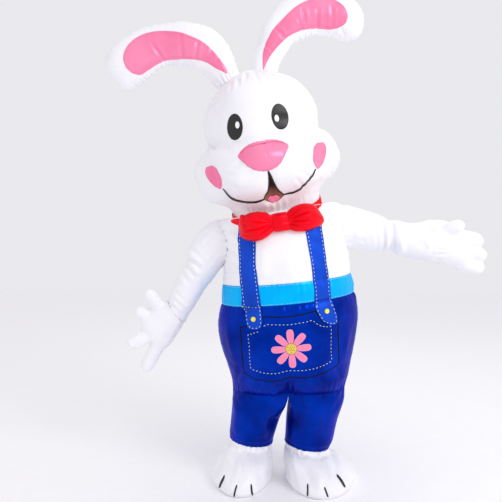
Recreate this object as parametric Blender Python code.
# Rabbit mascot costume, filled out with air as it is worn, about 1.9 m from the floor to the crown.
# Metres, +Z up, facing -Y. Heights in the tables are above the floor. Everything hangs from one
# empty, which puts the world origin between the wearer's shoulders, where the suit is held up.
# Left and right are the viewer's, seen from the front.
import functools
import math

import bmesh
import bpy
import numpy as np
from mathutils.bvhtree import BVHTree

# Driving dimensions
SHOULDER_HEIGHT = 1.15
WALL = 0.002
TRIM_WALL = 0.0012
SEAM = 0.0003
LAY = 0.0008  # air between a panel and what is sewn on it
CURVED_LAY = 0.0014  # the same where the panel bends more
HOLLOW_LAY = 0.0028  # the same across the waist, the ears, the mouth and the pocket
DEEP_LAY = 0.0040  # the same under the nose and on the left ear
JOIN = 0.0008  # air between the root of a tube and the panel that it is sewn to
NECK = (-0.0295, 1.226)
HEAD_ROLL = 11.74
NECK_RADIUS = 0.205
TOP_OF_TORSO = 0.006  # up the head's axis from the middle of the neck
WAIST_LOW = 0.842
WAIST_HIGH = 0.931
HOLE_SCALE = 0.86  # a hole under an ear or a sleeve, against the tube that covers it
NORMAL_STEP = 0.002  # share of a form's path, and radians, over which its slope is taken
DENT_FADE = 0.625  # how squarely a face looks forward or back where a dent is whole
REACH = 0.03  # how far a piece looks for the panel that it lies on
MERGED = 0.00002  # points nearer than this are one
SHARP = 50  # degrees at which an edge shows as a crease
NECK_DEPTHS = (0.190, 0.185)  # of the neck seam, in front and behind
BODY_MIDDLE = 0.02  # where the waist's heights are read, across the body
TIP_SHARE = 0.65  # how far the lining of a closed tip reaches from its last ring to the point
EAR_HOLE = 0.2  # share of an ear's path that its hole in the head spans
ARMHOLE = 0.22  # the same for a sleeve and the body
INNER_TURN = math.pi / 4  # half of a leg's ring that faces the other leg, in radians
ROUNDED_BY = 0.55  # share of a leg's path by which its ring has rounded off
TURN_SLIP = 1e-6  # radians of rounding that a turn may be out by
CUFF_CUT = 0.01  # how far the hollow of a mitt runs out through its cuff
FINGER_END = (42, 78)  # degrees of the rings that round a fingertip
PANEL_EDGE = 0.99  # as far across an ear as its coloured panel can lie

COLOURS = {
    "white": ("#F2F0F4", 0.38),
    "pink": ("#F77F9B", 0.40),
    "black": ("#15151A", 0.35),
    "red": ("#E8112D", 0.40),
    "sky": ("#19ADF2", 0.38),
    "royal": ("#12309A", 0.40),
    "strap": ("#2452C4", 0.42),
    "yellow": ("#F3E23A", 0.35),
    "mesh": ("#6B4A3E", 0.60),
}


def clear_scene():
    for item in list(bpy.data.objects):
        bpy.data.objects.remove(item, do_unlink=True)


def linear(code):
    values = [int(code[i : i + 2], 16) / 255 for i in (1, 3, 5)]
    return [v / 12.92 if v <= 0.04045 else ((v + 0.055) / 1.055) ** 2.4 for v in values]


def cloth_material(name):
    if name in bpy.data.materials:
        return bpy.data.materials[name]
    code, roughness = COLOURS[name]
    material = bpy.data.materials.new(name)
    material.use_nodes = True
    shader = material.node_tree.nodes["Principled BSDF"]
    shader.inputs["Base Color"].default_value = (*linear(code), 1)
    shader.inputs["Roughness"].default_value = roughness
    shader.inputs["Metallic"].default_value = 0
    return material


# Puffed forms

class Form:
    # Rings along a path in the XZ plane. A ring is an oval that may be deeper in front than behind.
    # A row holds the middle (x, z), the half width, the depths in front and behind, and the tilt.
    def __init__(self, rows, origin=(0, 0), roll=0, dents=()):
        self.table = np.array(rows, float)
        self.table[:, 5] = np.degrees(np.unwrap(np.radians(self.table[:, 5])))
        steps = np.linalg.norm(np.diff(self.table[:, :4], axis=0), axis=1)
        self.length = steps.sum()
        self.marks = np.concatenate([[0], np.cumsum(steps)]) / self.length
        self.slopes = np.gradient(self.table, self.marks, axis=0)
        self.origin = origin
        self.roll = math.radians(roll)
        self.dents = dents
        self.skin = None

    def row(self, s):
        i = int(np.clip(np.searchsorted(self.marks, s) - 1, 0, len(self.marks) - 2))
        span = self.marks[i + 1] - self.marks[i]
        f = (s - self.marks[i]) / span
        start, end = self.table[i], self.table[i + 1]
        rise, fall = self.slopes[i] * span, self.slopes[i + 1] * span
        value = (2 * f**3 - 3 * f**2 + 1) * start + (f**3 - 2 * f**2 + f) * rise
        return value + (3 * f**2 - 2 * f**3) * end + (f**3 - f**2) * fall

    def levels(self, low=0.0, high=1.0):
        # the table's own rings between two others, so that the facets keep to its creases
        near = 0.004
        return [low, *[m for m in self.marks if low + near < m < high - near], high]

    def world(self, x, y, z):
        c, s = math.cos(self.roll), math.sin(self.roll)
        return np.array([self.origin[0] + x * c - z * s, y, self.origin[1] + x * s + z * c])

    def point(self, turn, s):
        # turn is 0 at the right edge, a quarter in front, a half at the left edge
        x, z, half, front, back, tilt = self.row(s)
        lean = math.radians(tilt)
        across = half * math.cos(turn)
        facing = math.sin(turn)
        depth = facing * (front if facing > 0 else back)
        px, pz = x + across * math.cos(lean), z + across * math.sin(lean)
        for dent_x, dent_z, wide, tall, out, side in self.dents:
            if side * facing > 0:
                spread = ((px - dent_x) / wide) ** 2 + ((pz - dent_z) / tall) ** 2
                depth += side * out * math.exp(-spread) * min(1, abs(facing) / DENT_FADE)
        return self.world(px, -depth, pz)

    def normal(self, turn, s):
        step = NORMAL_STEP
        s = min(max(s, step), 1 - step)
        along = self.point(turn, s + step) - self.point(turn, s - step)
        around = self.point(turn + step, s) - self.point(turn - step, s)
        out = np.cross(along, around)
        middle = self.row(s)
        away = self.point(turn, s) - self.world(middle[0], 0, middle[1])
        if np.dot(out, away) < 0:
            out = -out
        return out / np.linalg.norm(out)

    def lifted(self, turn, s, out):
        return self.point(turn, s) + self.normal(turn, s) * out

    def laid(self, turn, s, out):
        # lifted from the made panels, whose flat faces stand above a hollow of the form
        point, normal = self.point(turn, s), self.normal(turn, s)
        hit = self.skin.ray_cast(point + normal * REACH, -normal, 2 * REACH)[0]
        rise = max(0, float(np.dot(np.array(hit) - point, normal))) if hit else 0
        return point + normal * (out + rise)

    def along(self, x, z):
        # how far along the path the ring through this place is
        low, high = 0.0, 1.0
        for _ in range(36):
            middle = (low + high) / 2
            row = self.row(middle)
            height = row[1] + math.tan(math.radians(row[5])) * (x - row[0])
            low, high = (middle, high) if height < z else (low, middle)
        return (low + high) / 2

    def place(self, x, z, side=1):
        # turn and s of the spot at x, z in the form's own upright frame, on the front or the back
        s = self.along(x, z)
        row = self.row(s)
        across = (x - row[0]) / math.cos(math.radians(row[5])) / row[2]
        return side * math.acos(max(-1.0, min(1.0, across))), s


def by_reaches(rows):
    # rows of height, reach to the left and to the right of an upright axis, front, back
    return [((b - a) / 2, height, (a + b) / 2, front, back, 0) for height, a, b, front, back in rows]


def by_edges(rows):
    # rows of one edge (x, z), the other edge (x, z), front, back; the first edge is at turn 0
    made = []
    for ax, az, bx, bz, front, back in rows:
        half = math.hypot(ax - bx, az - bz) / 2
        tilt = math.degrees(math.atan2(az - bz, ax - bx))
        made.append(((ax + bx) / 2, (az + bz) / 2, half, front, back, tilt))
    return made


# Solids

def finish(name, mesh, colour, helper=False):
    bmesh.ops.remove_doubles(mesh, verts=mesh.verts, dist=MERGED)
    bmesh.ops.delete(mesh, geom=[edge for edge in mesh.edges if edge.is_wire], context="EDGES")
    bmesh.ops.recalc_face_normals(mesh, faces=mesh.faces)
    if mesh.calc_volume(signed=True) < 0:
        bmesh.ops.reverse_faces(mesh, faces=mesh.faces)
    data = bpy.data.meshes.new(name)
    mesh.to_mesh(data)
    mesh.free()
    data.shade_smooth()
    data.set_sharp_from_angle(angle=math.radians(SHARP))
    item = bpy.data.objects.new(name, data)
    bpy.context.scene.collection.objects.link(item)
    item.parent = GARMENT
    if helper:
        item.hide_render = True
        item.display_type = "WIRE"
    else:
        data.materials.append(cloth_material(colour))
    return item


def cloth(name, outer, inner, colour, around=False):
    # A wall between two grids of points, closed along its edges
    mesh = bmesh.new()
    skins = [[[mesh.verts.new(p) for p in row] for row in skin] for skin in (outer, inner)]
    rows, columns = len(outer), len(outer[0])
    spans = columns if around else columns - 1
    for i in range(rows - 1):
        for j in range(spans):
            k = (j + 1) % columns
            for skin in skins:
                mesh.faces.new((skin[i][j], skin[i][k], skin[i + 1][k], skin[i + 1][j]))
    for i in (0, rows - 1):
        for j in range(spans):
            k = (j + 1) % columns
            mesh.faces.new((skins[0][i][j], skins[0][i][k], skins[1][i][k], skins[1][i][j]))
    if not around:
        for j in (0, columns - 1):
            for i in range(rows - 1):
                mesh.faces.new((skins[0][i][j], skins[0][i + 1][j], skins[1][i + 1][j], skins[1][i][j]))
    return finish(name, mesh, colour)


def closed_tube(name, rings, colour="white", helper=False):
    # A solid through rings of points, with flat ends
    mesh = bmesh.new()
    loops = [[mesh.verts.new(p) for p in ring] for ring in rings]
    count = len(rings[0])
    for near, far in zip(loops, loops[1:]):
        for j in range(count):
            k = (j + 1) % count
            mesh.faces.new((near[j], near[k], far[k], far[j]))
    mesh.faces.new(loops[0])
    mesh.faces.new(loops[-1])
    return finish(name, mesh, colour, helper)


def spaced(low, high, count):
    return [low + (high - low) * i / count for i in range(count + 1)]


def half_panel(name, form, side, levels, columns, colour):
    # The front (side 1) or the back (side -1) of a form, parted from its neighbours by half a seam
    outer, inner = [], []
    for s in levels:
        skin, lining = [], []
        for j in range(columns + 1):
            turn = side * math.pi * j / columns
            point, under = form.point(turn, s), form.lifted(turn, s, -WALL)
            if form.row(s)[2] < WALL:
                under = point + form.world(0, 0, -WALL) - form.world(0, 0, 0)
            if j in (0, columns) or form.row(s)[2] < WALL:
                point[1] = under[1] = -side * SEAM / 2
            skin.append(point)
            lining.append(under)
        outer.append(skin)
        inner.append(lining)
    return cloth(name, outer, inner, colour)


def patch(name, form, spots, colour, lift=LAY, wall=TRIM_WALL, side=1, around=False):
    # A piece sewn on a form: spots is a grid of places in the form's own frame
    outer, inner = [], []
    for row in spots:
        placed = [form.place(x, z, side) for x, z in row]
        levels = [lift(z) if callable(lift) else lift for _, z in row]
        outer.append([form.laid(t, s, level + wall) for (t, s), level in zip(placed, levels)])
        inner.append([form.laid(t, s, level) for (t, s), level in zip(placed, levels)])
    return cloth(name, outer, inner, colour, around)


def smooth_value(rows, at, column):
    # a value read from a short table whose first column runs upwards
    keys = np.array([row[0] for row in rows])
    values = np.array([row[column] for row in rows])
    slopes = np.gradient(values, keys)
    i = int(np.clip(np.searchsorted(keys, at) - 1, 0, len(keys) - 2))
    span = keys[i + 1] - keys[i]
    f = (at - keys[i]) / span
    start = (2 * f**3 - 3 * f**2 + 1) * values[i] + (f**3 - 2 * f**2 + f) * span * slopes[i]
    return start + (3 * f**2 - 2 * f**3) * values[i + 1] + (f**3 - f**2) * span * slopes[i + 1]


def stations(rows, count, steps, upright=False):
    # Places between two edges: rows of position, low edge, high edge
    grid = []
    for at in spaced(rows[0][0], rows[-1][0], count):
        low, high = smooth_value(rows, at, 1), smooth_value(rows, at, 2)
        line = [(at, value) for value in spaced(low, high, steps)]
        grid.append([(b, a) for a, b in line] if upright else line)
    return grid


def oval(x, z, wide, tall, tilt=0, rings=2, sides=16):
    lean = math.radians(tilt)
    grid = []
    for r in spaced(0, 1, rings):
        row = []
        for j in range(sides):
            turn = 2 * math.pi * j / sides
            a, b = r * wide * math.cos(turn), r * tall * math.sin(turn)
            row.append((x + a * math.cos(lean) - b * math.sin(lean), z + a * math.sin(lean) + b * math.cos(lean)))
        grid.append(row)
    return grid


def in_plane(ring, wall=WALL):
    # the ring drawn in by the wall without leaving its plane, for an edge that faces a neighbour
    middle = np.mean(ring, axis=0)
    return [point - (point - middle) / np.linalg.norm(point - middle) * wall for point in ring]


def skin_of(items):
    points, faces = [], []
    for item in items:
        faces += [[len(points) + i for i in face.vertices] for face in item.data.polygons]
        points += [vertex.co for vertex in item.data.vertices]
    return BVHTree.FromPolygons(points, faces)


def rooted_tube(name, form, host, columns, rows, colour):
    # A tube that starts inside its host and is trimmed to it; its far end is open or a point
    outer, inner = [], []
    for s in spaced(0, 1, rows):
        turns = [2 * math.pi * j / columns for j in range(columns)]
        outer.append([form.point(turn, s) for turn in turns])
        inner.append([form.lifted(turn, s, -WALL) for turn in turns])
    if form.table[-1][2] < WALL:
        last = np.mean(inner[-2], axis=0)
        inner[-1] = [last + (outer[-1][0] - last) * TIP_SHARE] * columns
    else:
        inner[-1] = in_plane(outer[-1])
    item = cloth(name, outer, inner, colour, around=True)
    boolean(item, host, solver="MANIFOLD")
    return item


def filled(name, form, front_columns, back_columns):
    # A helper: the form as a solid, grown by the air at a sewn root
    turns = [math.pi * j / front_columns for j in range(front_columns)]
    turns += [math.pi * (1 + j / back_columns) for j in range(back_columns)]
    rings = [[form.lifted(turn, s, JOIN) for turn in turns] for s in form.levels()]
    return closed_tube(name, rings, helper=True)


def hole_cutter(name, form, low, high, scale=HOLE_SCALE, sides=14):
    rings = []
    for s in spaced(low, high, 3):
        row = form.row(s)
        middle = form.world(row[0], 0, row[1])
        turns = [2 * math.pi * j / sides for j in range(sides)]
        rings.append([middle + (form.point(turn, s) - middle) * scale for turn in turns])
    return closed_tube(name, rings, helper=True)


def boolean(item, cutter, operation="DIFFERENCE", solver="EXACT"):
    step = item.modifiers.new(f"{operation.lower()} {cutter.name}", "BOOLEAN")
    step.operation = operation
    step.solver = solver
    step.object = cutter


# Facets across the front and across the back of a form
BODY_COLUMNS = (16, 12)
HEAD_COLUMNS = (18, 10)


def neck_edge():
    lean = math.radians(HEAD_ROLL)
    x = NECK[0] - TOP_OF_TORSO * math.sin(lean)
    z = NECK[1] + TOP_OF_TORSO * math.cos(lean)
    dx, dz = NECK_RADIUS * math.cos(lean), NECK_RADIUS * math.sin(lean)
    return (x + dx, z + dz, x - dx, z - dz, *NECK_DEPTHS)


# Body from the thighs to the neck: right edge (x, z), left edge (x, z), front, back
BODY_ROWS = (
    (0.285, 0.432, -0.230, 0.418, 0.172, 0.187),
    (0.291, 0.460, -0.231, 0.440, 0.205, 0.215),
    (0.300, 0.500, -0.237, 0.478, 0.228, 0.236),
    (0.309, 0.553, -0.251, 0.528, 0.244, 0.252),
    (0.324, 0.622, -0.277, 0.598, 0.260, 0.265),
    (0.335, 0.685, -0.294, 0.655, 0.269, 0.270),
    (0.341, 0.752, -0.299, 0.718, 0.273, 0.267),
    (0.340, 0.805, -0.294, 0.765, 0.270, 0.258),
    (0.331, 0.857, -0.285, 0.803, 0.263, 0.247),
    (0.324, 0.872, -0.281, 0.812, 0.258, 0.242),
    (0.322, 0.913, -0.282, 0.855, 0.263, 0.243),
    (0.308, 0.958, -0.277, 0.904, 0.258, 0.234),
    (0.302, 1.010, -0.273, 0.955, 0.262, 0.235),
    (0.292, 1.080, -0.271, 1.020, 0.259, 0.233),
    (0.289, 1.150, -0.277, 1.085, 0.250, 0.228),
    (0.288, 1.210, -0.290, 1.135, 0.236, 0.219),
    (0.279, 1.250, -0.295, 1.176, 0.220, 0.207),
    (0.252, 1.271, -0.277, 1.194, 0.204, 0.194),
    neck_edge(),
)
# x, z, spread, spread, depth, side: the dip between the thighs, in front and behind
BODY_DENTS = (
    (0.0275, 0.425, 0.060, 0.075, -0.050, 1),
    (0.0275, 0.425, 0.050, 0.100, -0.055, -1),
)

# Head in its own frame, which rolls about the neck: height, reach left, reach right, front, back
HEAD_ROWS = (
    (TOP_OF_TORSO + 2 * SEAM, NECK_RADIUS, NECK_RADIUS, *NECK_DEPTHS),
    (0.030, 0.194, 0.204, 0.204, 0.186),
    (0.052, 0.197, 0.207, 0.226, 0.191),
    (0.070, 0.208, 0.218, 0.250, 0.203),
    (0.090, 0.236, 0.240, 0.284, 0.222),
    (0.112, 0.282, 0.277, 0.310, 0.243),
    (0.140, 0.315, 0.305, 0.328, 0.258),
    (0.180, 0.334, 0.326, 0.340, 0.268),
    (0.225, 0.338, 0.328, 0.342, 0.271),
    (0.257, 0.333, 0.323, 0.334, 0.267),
    (0.285, 0.319, 0.311, 0.317, 0.259),
    (0.315, 0.289, 0.293, 0.291, 0.247),
    (0.343, 0.254, 0.264, 0.267, 0.236),
    (0.372, 0.251, 0.265, 0.262, 0.240),
    (0.410, 0.255, 0.272, 0.266, 0.250),
    (0.447, 0.252, 0.270, 0.264, 0.251),
    (0.485, 0.238, 0.258, 0.256, 0.245),
    (0.525, 0.215, 0.237, 0.239, 0.230),
    (0.560, 0.185, 0.209, 0.214, 0.207),
    (0.592, 0.150, 0.172, 0.178, 0.174),
    (0.618, 0.110, 0.128, 0.135, 0.132),
    (0.637, 0.068, 0.078, 0.083, 0.082),
    (0.647, 0.032, 0.036, 0.039, 0.038),
    (0.651, 0.000, 0.000, 0.000, 0.000),
)
# Nose, the two jowls, the split of the lip and the chin
HEAD_DENTS = (
    (0.000, 0.240, 0.085, 0.050, 0.030, 1),
    (-0.135, 0.165, 0.080, 0.060, 0.016, 1),
    (0.135, 0.165, 0.080, 0.060, 0.016, 1),
    (0.003, 0.120, 0.022, 0.050, -0.016, 1),
    (0.000, 0.045, 0.090, 0.022, 0.008, 1),
)

# Ears, from a ring inside the head to the tip: upper edge (x, z), lower edge (x, z), front, back
LEFT_EAR_ROWS = (
    (-0.170, 1.800, -0.255, 1.725, 0.050, 0.050),
    (-0.205, 1.862, -0.294, 1.788, 0.052, 0.050),
    (-0.226, 1.935, -0.331, 1.820, 0.060, 0.056),
    (-0.256, 1.991, -0.370, 1.858, 0.066, 0.060),
    (-0.320, 2.055, -0.415, 1.884, 0.070, 0.064),
    (-0.420, 2.088, -0.466, 1.897, 0.068, 0.062),
    (-0.525, 2.088, -0.512, 1.900, 0.066, 0.060),
    (-0.630, 2.068, -0.565, 1.882, 0.070, 0.064),
    (-0.728, 2.020, -0.610, 1.848, 0.074, 0.066),
    (-0.800, 1.955, -0.642, 1.818, 0.072, 0.064),
    (-0.817, 1.900, -0.668, 1.804, 0.062, 0.056),
    (-0.795, 1.845, -0.692, 1.792, 0.044, 0.040),
    (-0.765, 1.813, -0.716, 1.787, 0.024, 0.022),
    (-0.7400, 1.7925, -0.7396, 1.7923, 0.0002, 0.0002),
)
RIGHT_EAR_ROWS = (
    (-0.140, 1.770, -0.035, 1.790, 0.050, 0.050),
    (-0.146, 1.855, -0.026, 1.880, 0.052, 0.050),
    (-0.141, 1.915, -0.007, 1.920, 0.058, 0.054),
    (-0.120, 1.992, 0.018, 1.955, 0.064, 0.060),
    (-0.090, 2.078, 0.045, 1.988, 0.070, 0.064),
    (-0.045, 2.143, 0.080, 2.006, 0.072, 0.066),
    (0.030, 2.196, 0.112, 2.018, 0.072, 0.066),
    (0.125, 2.222, 0.152, 2.024, 0.070, 0.064),
    (0.225, 2.214, 0.205, 2.014, 0.072, 0.066),
    (0.308, 2.176, 0.256, 2.003, 0.070, 0.062),
    (0.355, 2.112, 0.300, 1.998, 0.056, 0.050),
    (0.358, 2.060, 0.326, 2.004, 0.034, 0.030),
    (0.3450, 2.0250, 0.3446, 2.0246, 0.0002, 0.0002),
)
# Pink panel of an ear: place along the ear, lower edge and upper edge across it, from -1 to 1
LEFT_PINK = (
    (0.112, 0.12, 0.20),
    (0.138, -0.06, 0.22),
    (0.173, -0.26, 0.19),
    (0.247, -0.48, 0.16),
    (0.330, -0.69, 0.18),
    (0.390, -0.77, 0.24),
    (0.457, -0.83, 0.36),
    (0.553, -0.85, 0.51),
    (0.655, -0.86, 0.54),
    (0.710, -0.84, 0.42),
    (0.745, -0.80, 0.25),
    (0.768, -0.72, 0.06),
    (0.788, -0.52, -0.22),
)
RIGHT_PINK = (
    (0.110, 0.02, 0.07),
    (0.143, -0.07, 0.16),
    (0.205, -0.26, 0.33),
    (0.250, -0.38, 0.38),
    (0.314, -0.55, 0.30),
    (0.395, -0.66, 0.20),
    (0.474, -0.74, 0.25),
    (0.551, -0.79, 0.38),
    (0.640, -0.81, 0.52),
    (0.718, -0.74, 0.42),
    (0.758, -0.62, 0.28),
    (0.780, -0.48, 0.10),
    (0.793, -0.34, -0.08),
)

# Sleeves, from a ring inside the body to the cuff: upper edge (x, z), lower edge (x, z), front, back
LEFT_SLEEVE_ROWS = (
    (-0.195, 1.152, -0.205, 0.975, 0.098, 0.098),
    (-0.286, 1.197, -0.262, 0.996, 0.104, 0.102),
    (-0.345, 1.176, -0.290, 0.968, 0.106, 0.104),
    (-0.400, 1.120, -0.322, 0.922, 0.102, 0.100),
    (-0.436, 1.062, -0.350, 0.886, 0.092, 0.091),
    (-0.448, 1.012, -0.368, 0.858, 0.086, 0.084),
    (-0.472, 0.962, -0.392, 0.824, 0.084, 0.080),
    (-0.503, 0.905, -0.420, 0.782, 0.074, 0.072),
    (-0.520, 0.862, -0.440, 0.752, 0.066, 0.064),
    (-0.532, 0.820, -0.458, 0.722, 0.060, 0.058),
)
RIGHT_SLEEVE_ROWS = (
    (0.195, 1.240, 0.205, 1.052, 0.098, 0.098),
    (0.280, 1.266, 0.290, 1.066, 0.102, 0.101),
    (0.345, 1.248, 0.358, 1.058, 0.098, 0.097),
    (0.405, 1.229, 0.415, 1.054, 0.092, 0.090),
    (0.452, 1.212, 0.460, 1.053, 0.086, 0.084),
    (0.480, 1.196, 0.488, 1.057, 0.076, 0.074),
    (0.512, 1.196, 0.514, 1.038, 0.082, 0.079),
    (0.562, 1.184, 0.562, 1.026, 0.080, 0.077),
    (0.614, 1.184, 0.626, 1.012, 0.080, 0.076),
    (0.664, 1.196, 0.700, 1.000, 0.078, 0.074),
)
# Palms, from the cuff to the knuckles, and fingers: root (x, y, z), tip (x, y, z), two radii
LEFT_PALM_ROWS = (
    (-0.5324, 0.8195, -0.4584, 0.7215, 0.060, 0.058),
    (-0.565, 0.818, -0.487, 0.672, 0.058, 0.054),
    (-0.603, 0.800, -0.520, 0.622, 0.055, 0.050),
    (-0.638, 0.772, -0.552, 0.592, 0.050, 0.045),
    (-0.662, 0.735, -0.592, 0.600, 0.036, 0.032),
    (-0.666, 0.700, -0.622, 0.640, 0.012, 0.012),
)
LEFT_FINGERS = (
    ((-0.590, 0.000, 0.735), (-0.660, -0.006, 0.765), 0.038, 0.030),
    ((-0.600, 0.000, 0.672), (-0.698, -0.010, 0.622), 0.039, 0.031),
    ((-0.572, 0.000, 0.632), (-0.632, -0.006, 0.518), 0.038, 0.032),
    ((-0.555, -0.012, 0.765), (-0.612, -0.030, 0.850), 0.034, 0.028),
)
RIGHT_PALM_ROWS = (
    (0.6642, 1.1961, 0.7003, 0.9999, 0.078, 0.074),
    (0.718, 1.196, 0.745, 0.986, 0.074, 0.068),
    (0.768, 1.178, 0.786, 0.970, 0.068, 0.060),
    (0.812, 1.155, 0.822, 0.962, 0.060, 0.052),
    (0.842, 1.122, 0.848, 0.978, 0.042, 0.036),
    (0.852, 1.085, 0.854, 1.020, 0.012, 0.012),
)
RIGHT_FINGERS = (
    ((0.790, 0.000, 1.124), (0.868, -0.010, 1.104), 0.039, 0.034),
    ((0.800, 0.000, 1.058), (0.884, -0.014, 1.040), 0.038, 0.033),
    ((0.790, 0.000, 1.000), (0.874, -0.010, 0.984), 0.038, 0.033),
    ((0.708, -0.034, 1.142), (0.772, -0.070, 1.172), 0.034, 0.029),
)

# Legs, from the thigh seam to the hem: right edge (x, z), left edge (x, z), front, back
LEFT_LEG_ROWS = (
    (0.0270, 0.4240, -0.2300, 0.4175, 0.172, 0.187),
    (0.0240, 0.3900, -0.2370, 0.3860, 0.176, 0.188),
    (0.0100, 0.3430, -0.2390, 0.3400, 0.160, 0.170),
    (-0.0080, 0.2950, -0.2380, 0.2980, 0.146, 0.155),
    (-0.0280, 0.2430, -0.2415, 0.2500, 0.132, 0.140),
    (-0.0430, 0.1900, -0.2460, 0.2080, 0.119, 0.125),
    (-0.0480, 0.1620, -0.2440, 0.1860, 0.110, 0.116),
)
RIGHT_LEG_ROWS = (
    (0.2850, 0.4315, 0.0280, 0.4250, 0.172, 0.187),
    (0.2850, 0.3960, 0.0265, 0.3900, 0.176, 0.188),
    (0.2740, 0.3560, 0.0175, 0.3450, 0.160, 0.170),
    (0.2590, 0.3030, 0.0165, 0.2980, 0.146, 0.155),
    (0.2430, 0.2450, 0.0150, 0.2450, 0.132, 0.140),
    (0.2270, 0.1720, 0.0140, 0.1920, 0.118, 0.124),
    (0.2140, 0.1440, 0.0120, 0.1720, 0.108, 0.114),
)
# Shoe covers, from the hem to the floor: right edge (x, z), left edge (x, z), front, back
LEFT_FOOT_ROWS = (
    (-0.0485, 0.1614, -0.2435, 0.1854, 0.110, 0.116),
    (-0.0520, 0.1460, -0.2420, 0.1680, 0.110, 0.110),
    (-0.0520, 0.1300, -0.2640, 0.1400, 0.140, 0.111),
    (-0.0480, 0.1080, -0.2860, 0.1120, 0.182, 0.115),
    (-0.0490, 0.0780, -0.3060, 0.0790, 0.224, 0.120),
    (-0.0470, 0.0440, -0.3230, 0.0450, 0.256, 0.125),
    (-0.0480, 0.0180, -0.3230, 0.0180, 0.262, 0.125),
    (-0.0580, 0.0000, -0.3120, 0.0000, 0.250, 0.117),
)
RIGHT_FOOT_ROWS = (
    (0.2135, 0.1434, 0.0125, 0.1714, 0.108, 0.114),
    (0.2160, 0.1280, 0.0140, 0.1540, 0.108, 0.109),
    (0.2480, 0.1140, 0.0080, 0.1340, 0.142, 0.110),
    (0.2850, 0.0940, 0.0040, 0.1000, 0.188, 0.114),
    (0.3150, 0.0690, 0.0060, 0.0700, 0.228, 0.120),
    (0.3310, 0.0410, 0.0100, 0.0400, 0.258, 0.125),
    (0.3310, 0.0180, 0.0120, 0.0180, 0.264, 0.125),
    (0.3200, 0.0000, 0.0220, 0.0000, 0.252, 0.117),
)

# Face, in the head's frame
EYE_SIZE = (0.034, 0.055)
GLINT_SIZE = (0.009, 0.014)
EYES = {  # middle, tilt, middle of the glint
    "left": ((-0.096, 0.388), -9, (-0.083, 0.394)),
    "right": ((0.096, 0.390), -2, (0.082, 0.386)),
}
NOSE = (  # across, bottom, seam between the strip and the lower panel, top
    (-0.104, 0.2520, 0.2590, 0.2620),
    (-0.090, 0.2320, 0.2695, 0.2755),
    (-0.062, 0.1980, 0.2830, 0.2930),
    (-0.025, 0.1795, 0.2860, 0.3010),
    (0.020, 0.1770, 0.2860, 0.3010),
    (0.060, 0.1950, 0.2830, 0.2930),
    (0.090, 0.2320, 0.2700, 0.2765),
    (0.105, 0.2540, 0.2605, 0.2640),
)
CHEEK = (  # height, inner edge, outer edge
    (0.147, 0.204, 0.210),
    (0.160, 0.197, 0.227),
    (0.187, 0.192, 0.246),
    (0.213, 0.199, 0.257),
    (0.236, 0.207, 0.260),
    (0.252, 0.224, 0.252),
)
MOUTH = (  # height, left edge, right edge
    (0.0480, -0.004, 0.008),
    (0.0560, -0.024, 0.028),
    (0.0680, -0.036, 0.046),
    (0.0800, -0.028, 0.038),
    (0.0960, -0.013, 0.026),
    (0.1200, -0.004, 0.020),
    (0.1480, 0.000, 0.013),
    (0.1720, 0.002, 0.006),
)
TONGUE = (  # height, left edge, right edge
    (0.0510, -0.006, 0.010),
    (0.0580, -0.019, 0.024),
    (0.0680, -0.020, 0.026),
    (0.0760, -0.008, 0.014),
)
NECK_BAND = (0.012, 0.044)
# Bow, in the head's frame: across, bottom, top, and how thick it is there
BOW_DEEPEST_HEIGHT = -0.050
BOW_EDGE = 0.006
BOW_PIECES = {
    "bow_left": (
        (-0.171, -0.066, -0.030, 0.012),
        (-0.160, -0.077, 0.010, 0.034),
        (-0.130, -0.093, 0.022, 0.052),
        (-0.095, -0.099, 0.0255, 0.056),
        (-0.060, -0.091, 0.020, 0.046),
        (-0.035, -0.077, 0.009, 0.034),
        (-0.024, -0.071, -0.003, 0.028),
    ),
    "bow_knot": (
        (-0.0235, -0.074, -0.001, 0.030),
        (-0.010, -0.077, 0.001, 0.038),
        (0.020, -0.079, 0.001, 0.040),
        (0.0435, -0.080, -0.002, 0.030),
    ),
    "bow_right": (
        (0.044, -0.079, -0.004, 0.028),
        (0.058, -0.087, 0.006, 0.034),
        (0.092, -0.097, 0.017, 0.050),
        (0.138, -0.096, 0.015, 0.056),
        (0.165, -0.091, 0.001, 0.044),
        (0.183, -0.084, -0.028, 0.026),
        (0.193, -0.074, -0.054, 0.012),
    ),
}

# Trim on the body
POCKET = (  # across, bottom, top, on lines that lean
    (-0.1815, 0.5500, 0.7390),
    (-0.1770, 0.5290, 0.7395),
    (-0.1512, 0.5132, 0.7420),
    (-0.0949, 0.5020, 0.7700),
    (-0.0774, 0.5022, 0.7940),
    (-0.0494, 0.5040, 0.7935),
    (-0.0083, 0.5110, 0.7935),
    (0.0329, 0.5234, 0.7970),
    (0.0769, 0.5205, 0.8030),
    (0.1244, 0.5240, 0.8140),
    (0.1420, 0.5275, 0.8180),
    (0.1640, 0.5330, 0.7900),
    (0.1827, 0.5393, 0.7700),
    (0.2143, 0.5521, 0.7760),
    (0.2390, 0.5675, 0.7840),
    (0.2440, 0.5850, 0.7850),
)
POCKET_LEAN = -0.06  # how far its upright lines run sideways for their height
POCKET_MIDDLE = 0.65
STRAP_HALF = 0.039
STRAP_LAY = {"left": 0.0019, "right": HOLLOW_LAY}
STRAP_LIFT_RANGE = (0.830, 0.870)
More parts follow.
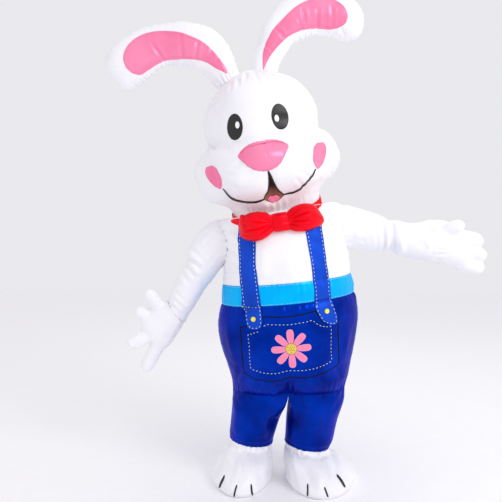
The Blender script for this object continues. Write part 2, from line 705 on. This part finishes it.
STRAPS = {  # height, left edge, right edge
    "left": (
        (0.7330, -0.1340, -0.1120),
        (0.7380, -0.1440, -0.0990),
        (0.7500, -0.1510, -0.0900),
        (0.7640, -0.1540, -0.0860),
        (0.7880, -0.1575, -0.0880),
        (0.8150, -0.1610, -0.0915),
        (0.8240, -0.1715, -0.0935),
        (0.8600, -0.1755, -0.0970),
        (0.9000, -0.1805, -0.1020),
        (0.9600, -0.1870, -0.1080),
        (1.0050, -0.1895, -0.1145),
        (1.0900, -0.1920, -0.1150),
        (1.1900, -0.1920, -0.1170),
    ),
    "right": (
        (0.7530, 0.1990, 0.2180),
        (0.7600, 0.1850, 0.2310),
        (0.7700, 0.1690, 0.2310),
        (0.7980, 0.1500, 0.2260),
        (0.8310, 0.1353, 0.2120),
        (0.8560, 0.1340, 0.2060),
        (0.9000, 0.1330, 0.2000),
        (0.9480, 0.1265, 0.1955),
        (1.0110, 0.1195, 0.1872),
        (1.0950, 0.1045, 0.1754),
        (1.1400, 0.0960, 0.1680),
        (1.2200, 0.0850, 0.1580),
    ),
}
BACK_STRAPS = {  # height and middle at the lower and the upper end
    "left": ((0.760, -0.150), (1.160, -0.132)),
    "right": ((0.790, 0.185), (1.210, 0.112)),
}
BUTTONS = {"left": (-0.1226, 0.7760), "right": (0.1828, 0.8121)}
BUTTON_RADIUS = 0.0105
BUTTON_THICKNESS = 0.0028
PLACKET = (0.600, 1.185)
PLACKET_HALF = 0.024
PLACKET_LAY = 0.0018


def body_pieces(body):
    low = body.along(BODY_MIDDLE, WAIST_LOW)
    high = body.along(BODY_MIDDLE, WAIST_HIGH)
    slit = SEAM / body.length
    spans = (
        ("seat", 0.0, low - slit, "royal"),
        ("waist", low + slit, high - slit, "sky"),
        ("torso", high + slit, 1.0, "white"),
    )
    made = {}
    for name, start, end, colour in spans:
        levels = body.levels(start, end)
        for half, side, columns in (("front", 1, BODY_COLUMNS[0]), ("back", -1, BODY_COLUMNS[1])):
            made[f"{name}_{half}"] = half_panel(f"{name}_{half}", body, side, levels, columns, colour)
    return made


def leg(name, rows, body, side, columns=16, steps=8):
    # The top ring is half of the seat's lower edge and a straight inner seam; it rounds off below
    form = Form(by_edges(rows))
    front, back = body.point(math.pi / 2, 0), body.point(-math.pi / 2, 0)
    inner_x = rows[0][0] if side < 0 else rows[0][2]

    def top_point(turn):
        inward = 0 if side < 0 else math.pi
        off = (turn - inward + math.pi) % (2 * math.pi) - math.pi
        if abs(off) < INNER_TURN - TURN_SLIP:
            share = 0.5 + 0.5 * off / INNER_TURN * (1 if side < 0 else -1)
            point = back + (front - back) * share
        else:
            outer = (abs(off) - INNER_TURN) / (math.pi - INNER_TURN) * math.pi / 2
            angle = math.pi / 2 + (outer if side < 0 else -outer)
            facing = 1 if (off > 0) == (side < 0) else -1
            point = body.point(facing * angle, 0)
        if abs(off) < INNER_TURN + TURN_SLIP:
            point[0] = inner_x
        return point - np.array([0, 0, 2 * SEAM])

    outer, inner = [], []
    for s in spaced(0, 1, steps):
        ease = min(1, s / ROUNDED_BY)
        ease = ease * ease * (3 - 2 * ease)
        skin, lining = [], []
        for j in range(columns):
            turn = 2 * math.pi * j / columns
            normal = form.normal(turn, s)
            point = form.point(turn, s)
            drop = point[2] - form.row(s)[1]
            lobed = top_point(turn)
            shape = point * ease + (1 - ease) * np.array([lobed[0], lobed[1], form.row(s)[1] + drop])
            if s == 0:
                shape = lobed
            skin.append(shape)
            lining.append(shape - normal * WALL)
        outer.append(skin)
        inner.append(lining)
    return cloth(name, outer, inner, "royal", around=True)


def shoe_cover(name, rows, columns=16, steps=8):
    form = Form(by_edges(rows))
    outer, inner = [], []
    for s in spaced(0, 1, steps):
        turns = [2 * math.pi * j / columns for j in range(columns)]
        outer.append([form.point(turn, s) for turn in turns])
        lining = [form.lifted(turn, s, -WALL) for turn in turns]
        if s == 1:
            for point in lining:
                point[2] = 0
        inner.append(lining)
    return cloth(name, outer, inner, "white", around=True)


def finger_rings(root, tip, wide, narrow, sides=8):
    # A tapered finger with a round end
    root, tip = np.array(root), np.array(tip)
    axis = (tip - root) / np.linalg.norm(tip - root)
    across = np.cross(axis, (0, 1, 0))
    across /= np.linalg.norm(across)
    other = np.cross(axis, across)
    profile = [(root, wide), (root * 0.5 + tip * 0.5, (wide + narrow) / 2), (tip, narrow)]
    for degrees in FINGER_END:
        a = math.radians(degrees)
        profile.append((tip + axis * narrow * math.sin(a), narrow * math.cos(a)))
    rings = []
    for middle, radius in profile:
        turns = [2 * math.pi * j / sides for j in range(sides)]
        rings.append([middle + radius * (across * math.cos(t) + other * math.sin(t)) for t in turns])
    return rings


def palm_rings(rows, shrink, sides=12):
    form = Form(by_edges(rows))
    rings = []
    for s in spaced(0, 1, 5):
        row = form.row(s)
        middle = form.world(row[0], 0, row[1])
        ring = []
        for j in range(sides):
            point = form.point(2 * math.pi * j / sides, s)
            out = point - middle
            ring.append(point - out / np.linalg.norm(out) * shrink)
        rings.append(ring)
    if shrink:
        # the hollow runs out through the cuff and stops short of the knuckles
        middles = [np.mean(ring, axis=0) for ring in rings]
        inward = (middles[0] - middles[1]) / np.linalg.norm(middles[0] - middles[1])
        ahead = (middles[-1] - middles[-2]) / np.linalg.norm(middles[-1] - middles[-2])
        rings.insert(0, [point + inward * CUFF_CUT for point in rings[0]])
        rings[-1] = [point - ahead * shrink for point in rings[-1]]
    return rings


def mitt(name, palm, fingers):
    item = closed_tube(name, palm_rings(palm, 0))
    for i, (root, tip, wide, narrow) in enumerate(fingers):
        grown = closed_tube(f"{name}_finger_{i}", finger_rings(root, tip, wide, narrow), helper=True)
        boolean(item, grown, "UNION", "MANIFOLD")
    hollow = closed_tube(f"{name}_hollow", palm_rings(palm, WALL), helper=True)
    boolean(item, hollow, solver="MANIFOLD")
    for i, (root, tip, wide, narrow) in enumerate(fingers):
        rings = finger_rings(root, tip, wide - WALL, narrow - WALL)
        boolean(item, closed_tube(f"{name}_hollow_{i}", rings, helper=True), solver="MANIFOLD")
    return item


def pink_panel(name, ear, rows, lay):
    # The coloured inside of an ear, on the front of the outer ear
    outer, inner = [], []
    for s in spaced(rows[0][0], rows[-1][0], 12):
        low, high = smooth_value(rows, s, 1), smooth_value(rows, s, 2)
        turns = [math.acos(max(-PANEL_EDGE, min(PANEL_EDGE, q))) for q in spaced(low, high, 5)]
        outer.append([ear.laid(turn, s, lay + TRIM_WALL) for turn in turns])
        inner.append([ear.laid(turn, s, lay) for turn in turns])
    return cloth(name, outer, inner, "pink")


def bow_piece(name, rows, head, body):
    # Puffed red cloth that lies on the chest, with thin edges and a full middle
    lift = HOLLOW_LAY + LAY + 2 * TRIM_WALL
    outer, inner = [], []
    for at in spaced(rows[0][0], rows[-1][0], 8):
        low, high, full = (smooth_value(rows, at, column) for column in (1, 2, 3))
        skin, under = [], []
        for f in spaced(0, 1, 6):
            height = low + (high - low) * f
            chest = head.world(at, 0, min(height, BOW_DEEPEST_HEIGHT))
            turn, s = body.place(chest[0], chest[2])
            y = body.point(turn, s)[1] - lift
            swell = BOW_EDGE + (full - BOW_EDGE) * math.sqrt(max(0, 1 - (2 * f - 1) ** 2))
            spot = head.world(at, y, height)
            under.append(spot)
            skin.append(spot - np.array([0, swell, 0]))
        outer.append(skin)
        inner.append(under)
    return cloth(name, outer, inner, "red")


def neck_band(head):
    levels = [head.along(0, height) for height in NECK_BAND]
    front, back = HEAD_COLUMNS
    turns = [math.pi * j / front for j in range(front)]
    turns += [math.pi * (1 + j / back) for j in range(back)]
    outer = [[head.laid(turn, s, CURVED_LAY + TRIM_WALL) for turn in turns] for s in levels]
    inner = [[head.laid(turn, s, CURVED_LAY) for turn in turns] for s in levels]
    return cloth("neck_band", outer, inner, "red", around=True)


def face(head):
    for side, (middle, tilt, glint) in EYES.items():
        spots = oval(*middle, *EYE_SIZE, tilt)
        patch(f"eye_{side}", head, spots, "black", CURVED_LAY, around=True)
        lift = CURVED_LAY + LAY + TRIM_WALL
        spots = oval(*glint, *GLINT_SIZE, tilt, rings=2, sides=10)
        patch(f"eye_{side}_glint", head, spots, "white", lift, around=True)
    lower = [(x, bottom, seam - SEAM) for x, bottom, seam, _ in NOSE]
    upper = [(x, seam + SEAM, top) for x, _, seam, top in NOSE]
    patch("nose_lower", head, stations(lower, 9, 7), "pink", DEEP_LAY)
    patch("nose_upper", head, stations(upper, 9, 2), "pink", DEEP_LAY)
    for side, name in ((-1, "cheek_left"), (1, "cheek_right")):
        rows = [(height, side * a, side * b) for height, a, b in CHEEK]
        patch(name, head, stations(rows, 7, 3, upright=True), "pink")
    patch("mouth_window", head, stations(MOUTH, 10, 3, upright=True), "mesh", HOLLOW_LAY)
    lift = HOLLOW_LAY + 2 * LAY + TRIM_WALL
    patch("tongue", head, stations(TONGUE, 4, 4, upright=True), "pink", lift)


def strap_lift(height, lay):
    # The front straps pass over the pocket, and lie on the body above it
    low, high = STRAP_LIFT_RANGE
    f = min(1, max(0, (high - height) / (high - low)))
    over = HOLLOW_LAY + TRIM_WALL + CURVED_LAY
    return lay + (over - lay) * f * f * (3 - 2 * f)


def trim(body):
    spots = stations(POCKET, 16, 7)
    spots = [[(x + POCKET_LEAN * (z - POCKET_MIDDLE), z) for x, z in row] for row in spots]
    patch("pocket", body, spots, "royal", HOLLOW_LAY)
    for side, rows in STRAPS.items():
        lift = functools.partial(strap_lift, lay=STRAP_LAY[side])
        patch(f"strap_{side}", body, stations(rows, 14, 2, upright=True), "strap", lift)
    for side, (low, high) in BACK_STRAPS.items():
        rows = [(height, middle - STRAP_HALF, middle + STRAP_HALF) for height, middle in (low, high)]
        spots = stations(rows, 10, 2, upright=True)
        patch(f"strap_back_{side}", body, spots, "strap", HOLLOW_LAY, side=-1)
    for side, (x, z) in BUTTONS.items():
        spots = oval(x, z, BUTTON_RADIUS, BUTTON_RADIUS, rings=1, sides=12)
        lift = strap_lift(z, STRAP_LAY[side]) + TRIM_WALL + LAY / 2
        patch(f"button_{side}", body, spots, "yellow", lift, BUTTON_THICKNESS, around=True)
    rows = []
    for height in PLACKET:
        middle = body.row(body.along(0, height))[0]
        rows.append((height, middle - PLACKET_HALF, middle + PLACKET_HALF))
    spots = stations(rows, 12, 2, upright=True)
    patch("back_placket", body, spots, "white", PLACKET_LAY, side=-1)


def main():
    body = Form(by_edges(BODY_ROWS), dents=BODY_DENTS)
    head = Form(by_reaches(HEAD_ROWS), NECK, HEAD_ROLL, HEAD_DENTS)
    ears = {"left": Form(by_edges(LEFT_EAR_ROWS)), "right": Form(by_edges(RIGHT_EAR_ROWS))}
    sleeves = {"left": Form(by_edges(LEFT_SLEEVE_ROWS)), "right": Form(by_edges(RIGHT_SLEEVE_ROWS))}

    panels = body_pieces(body)
    body.skin = skin_of(panels.values())
    head_panels = [
        half_panel("head_front", head, 1, head.levels(), HEAD_COLUMNS[0], "white"),
        half_panel("head_back", head, -1, head.levels(), HEAD_COLUMNS[1], "white"),
    ]
    head.skin = skin_of(head_panels)
    solid_head = filled("head_form", head, *HEAD_COLUMNS)
    for side, ear in ears.items():
        ear.skin = skin_of([rooted_tube(f"ear_{side}", ear, solid_head, 12, 13, "white")])
        cutter = hole_cutter(f"ear_{side}_hole", ear, 0.0, EAR_HOLE)
        for item in head_panels:
            boolean(item, cutter)
    pink_panel("ear_left_inner", ears["left"], LEFT_PINK, DEEP_LAY)
    pink_panel("ear_right_inner", ears["right"], RIGHT_PINK, HOLLOW_LAY)
    solid_body = filled("body_form", body, *BODY_COLUMNS)
    for side, sleeve in sleeves.items():
        rooted_tube(f"sleeve_{side}", sleeve, solid_body, 14, 13, "white")
        cutter = hole_cutter(f"armhole_{side}", sleeve, 0.0, ARMHOLE)
        for name in ("torso_front", "torso_back"):
            boolean(panels[name], cutter, solver="MANIFOLD")
    mitt("mitt_left", LEFT_PALM_ROWS, LEFT_FINGERS)
    mitt("mitt_right", RIGHT_PALM_ROWS, RIGHT_FINGERS)
    leg("leg_left", LEFT_LEG_ROWS, body, -1)
    leg("leg_right", RIGHT_LEG_ROWS, body, 1)
    shoe_cover("foot_left", LEFT_FOOT_ROWS)
    shoe_cover("foot_right", RIGHT_FOOT_ROWS)
    face(head)
    neck_band(head)
    for name, rows in BOW_PIECES.items():
        bow_piece(name, rows, head, body)
    trim(body)


clear_scene()
GARMENT = bpy.data.objects.new("garment", None)
GARMENT.location = (0, 0, -SHOULDER_HEIGHT)
bpy.context.scene.collection.objects.link(GARMENT)
main()
